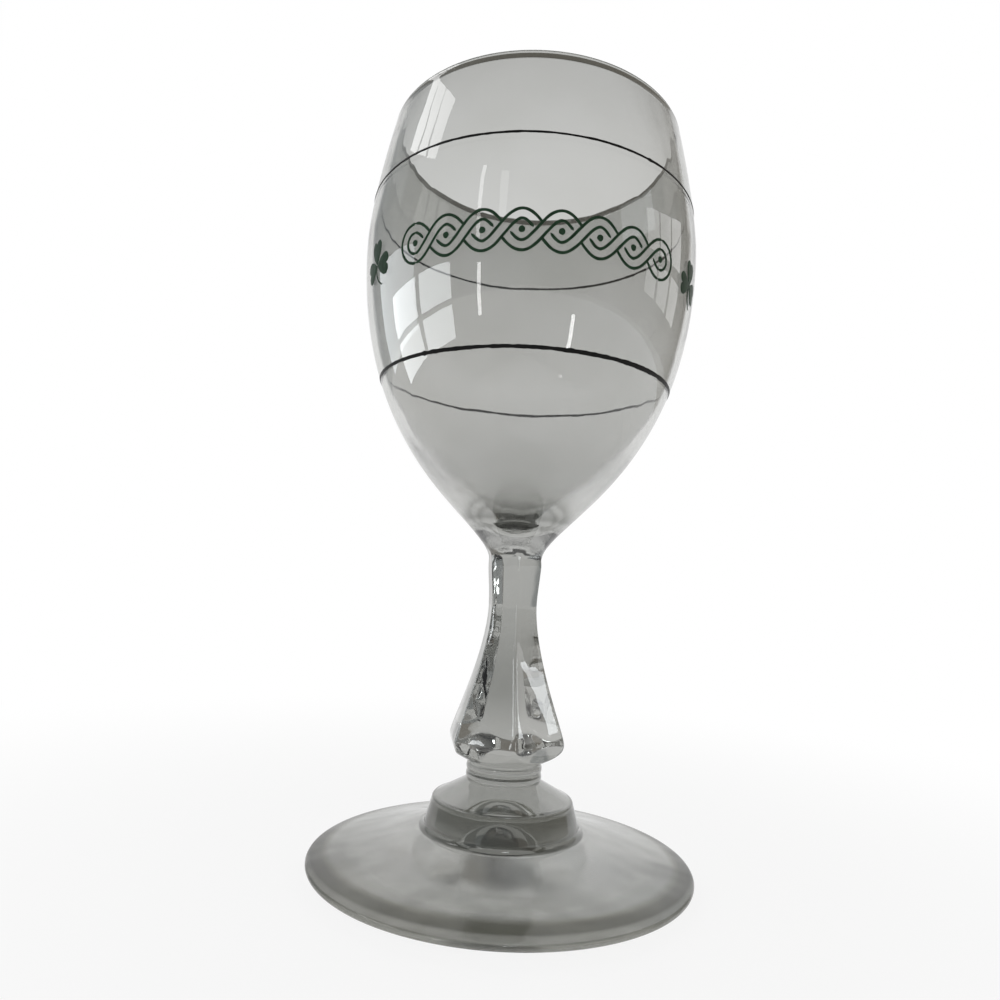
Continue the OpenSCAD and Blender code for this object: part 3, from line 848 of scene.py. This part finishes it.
def studio_world():
    """The room as the glass mirrors it."""
    world = bpy.data.worlds.new("studio")
    world.use_nodes = True
    tree = world.node_tree
    tree.nodes.clear()
    place = add(tree, "TexCoord").outputs["Generated"]
    x, y, z = add(tree, "SeparateXYZ", {0: place}).outputs
    sky = ramp(tree, z, CEILING)
    sides = blend(tree, "MIX", LEFT_GREY, RIGHT_GREY, span(tree, x, -0.5, 1.0))
    turned = add(tree, "Math", {0: x, 1: y}, operation="ARCTAN2")
    aside = add(tree, "Math", {0: turned.outputs[0]}, operation="ABSOLUTE")
    beside = span(tree, aside.outputs[0], BACKDROP_HALF, SIDES_FROM, interpolation_type="SMOOTHSTEP")
    room = blend(tree, "MULTIPLY", sky, sides, beside)
    back = add(tree, "Background", {"Strength": 1.0, "Color": room})
    out = add(tree, "OutputWorld")
    tree.links.new(back.outputs[0], out.inputs["Surface"])
    return world


scene.world = studio_world()


# Lamps, with distances and sizes in metres

AIM = Vector((0, 0, 0.1))
FAR = 1.2
DAYLIGHT = (0.93, 0.97, 1.0)


def only_on(name, *pieces):
    """A collection of the pieces that a lamp lights."""
    group = bpy.data.collections.new(name)
    for obj in pieces:
        group.objects.link(obj)
    return group


def lamp(name, azimuth, elevation, distance, size, radiance, colour=WHITE, lit=None, through=False):
    """A flat light that faces the bowl; azimuth 0 is the camera's side, 90 is +X.
    It lights only the pieces in lit, if given, and through lets it be seen through glass."""
    data = bpy.data.lights.new(name, "AREA")
    data.shape = "RECTANGLE"
    data.size, data.size_y = size
    data.energy = radiance * math.pi * size[0] * size[1]
    data.color = colour
    obj = bpy.data.objects.new(name, data)
    a, e = math.radians(azimuth), math.radians(elevation)
    way = Vector((math.sin(a) * math.cos(e), -math.cos(a) * math.cos(e), math.sin(e)))
    obj.location = AIM + way * distance
    obj.rotation_euler = (-way).to_track_quat("-Z", "Y").to_euler()
    obj.visible_camera = False
    obj.visible_transmission = through
    scene.collection.objects.link(obj)
    if lit:
        obj.light_linking.receiver_collection = lit


bowl_only = only_on("bowl_only", bowl)
upper_parts = only_on("upper_parts", bowl, stem)
stem_only = only_on("stem_only", stem)
foot_only = only_on("foot_only", foot)

for i, azimuth in enumerate((84, 97, 110)):
    for j, elevation in enumerate((13, 24)):
        lamp(f"window_right_{i}_{j}", azimuth, elevation, FAR, (0.22, 0.18), 1.6, lit=upper_parts)
for i, azimuth in enumerate((-80, -91, -102)):
    lamp(f"window_left_{i}", azimuth, 46, FAR, (0.14, 0.22), 3.0)
lamp("soft_left", -100, 4, 1.3, (0.9, 0.7), 2.6, (0.90, 0.96, 1.0), upper_parts)
for i, azimuth in enumerate((-89, -62)):
    for j, elevation in enumerate((-9, 4)):
        lamp(f"pane_left_{i}_{j}", azimuth, elevation, 0.36, (0.15, 0.07), 6.0, (0.94, 0.98, 1.0), bowl_only)
lamp("window_stem", 79, 16, FAR, (0.12, 0.13), 7.0, DAYLIGHT, stem_only)
lamp("strip_stem", -42, 0, 0.4, (0.012, 0.12), 9.0, DAYLIGHT, stem_only)
lamp("ridge_stem", 18, 3, 0.5, (0.12, 0.22), 5.0, DAYLIGHT, stem_only)
lamp("sparkle_right", 24, 30, FAR, (0.16, 0.10), 7.0, DAYLIGHT, stem_only, True)
lamp("sparkle_left", -38, 22, FAR, (0.10, 0.14), 7.0, DAYLIGHT, stem_only, True)
lamp("sparkle_above", -24, 58, FAR, (0.16, 0.12), 14.0, DAYLIGHT, stem_only, True)
lamp("sparkle_front", 8, 60, FAR, (0.20, 0.12), 14.0, DAYLIGHT, foot_only, True)
lamp("sparkle_back", 170, 72, FAR, (0.14, 0.16), 14.0, DAYLIGHT, foot_only, True)
lamp("bar_right", 29, -14, 0.26, (0.012, 0.056), 11.0, lit=bowl_only)
lamp("bar_left", -31, -1, 0.26, (0.010, 0.076), 9.0, lit=bowl_only)
lamp("strip_middle", -19, 27, FAR, (0.09, 0.3), 1.3)
lamp("strip_left", -34, 26, FAR, (0.05, 0.5), 4.0)


# Camera, in metres

SENSOR, LENS, NEAREST, SHIFT_X = 36, 26.22, 0.01, -0.0012
PITCH, ROLL, YAW = math.radians(6.92), math.radians(3.18), math.radians(-1.25)
CAMERA_PLACE = (-0.0002, -0.14207, 0.0512)


def photo_camera():
    """The photograph's view: turned by the yaw, tilted up by the pitch, then rolled."""
    data = bpy.data.cameras.new("camera")
    data.sensor_width = SENSOR
    data.lens = LENS
    data.clip_start = NEAREST
    data.shift_x = SHIFT_X
    camera = bpy.data.objects.new("camera", data)
    side = Vector((math.cos(YAW), -math.sin(YAW), 0))
    ahead = Vector((math.sin(YAW), math.cos(YAW), 0))
    above = Vector((0, 0, 1))
    forward = math.cos(PITCH) * ahead + math.sin(PITCH) * above
    upward = -math.sin(PITCH) * ahead + math.cos(PITCH) * above
    right = math.cos(ROLL) * side + math.sin(ROLL) * upward
    up = -math.sin(ROLL) * side + math.cos(ROLL) * upward
    turn = Matrix((right, up, -forward)).transposed().to_4x4()
    camera.matrix_world = Matrix.Translation(CAMERA_PLACE) @ turn
    scene.collection.objects.link(camera)
    return camera


scene.camera = photo_camera()


# Light paths long enough for glass seen through glass

scene.cycles.max_bounces = 24
scene.cycles.transmission_bounces = 24
scene.cycles.glossy_bounces = 8
scene.cycles.transparent_max_bounces = 24
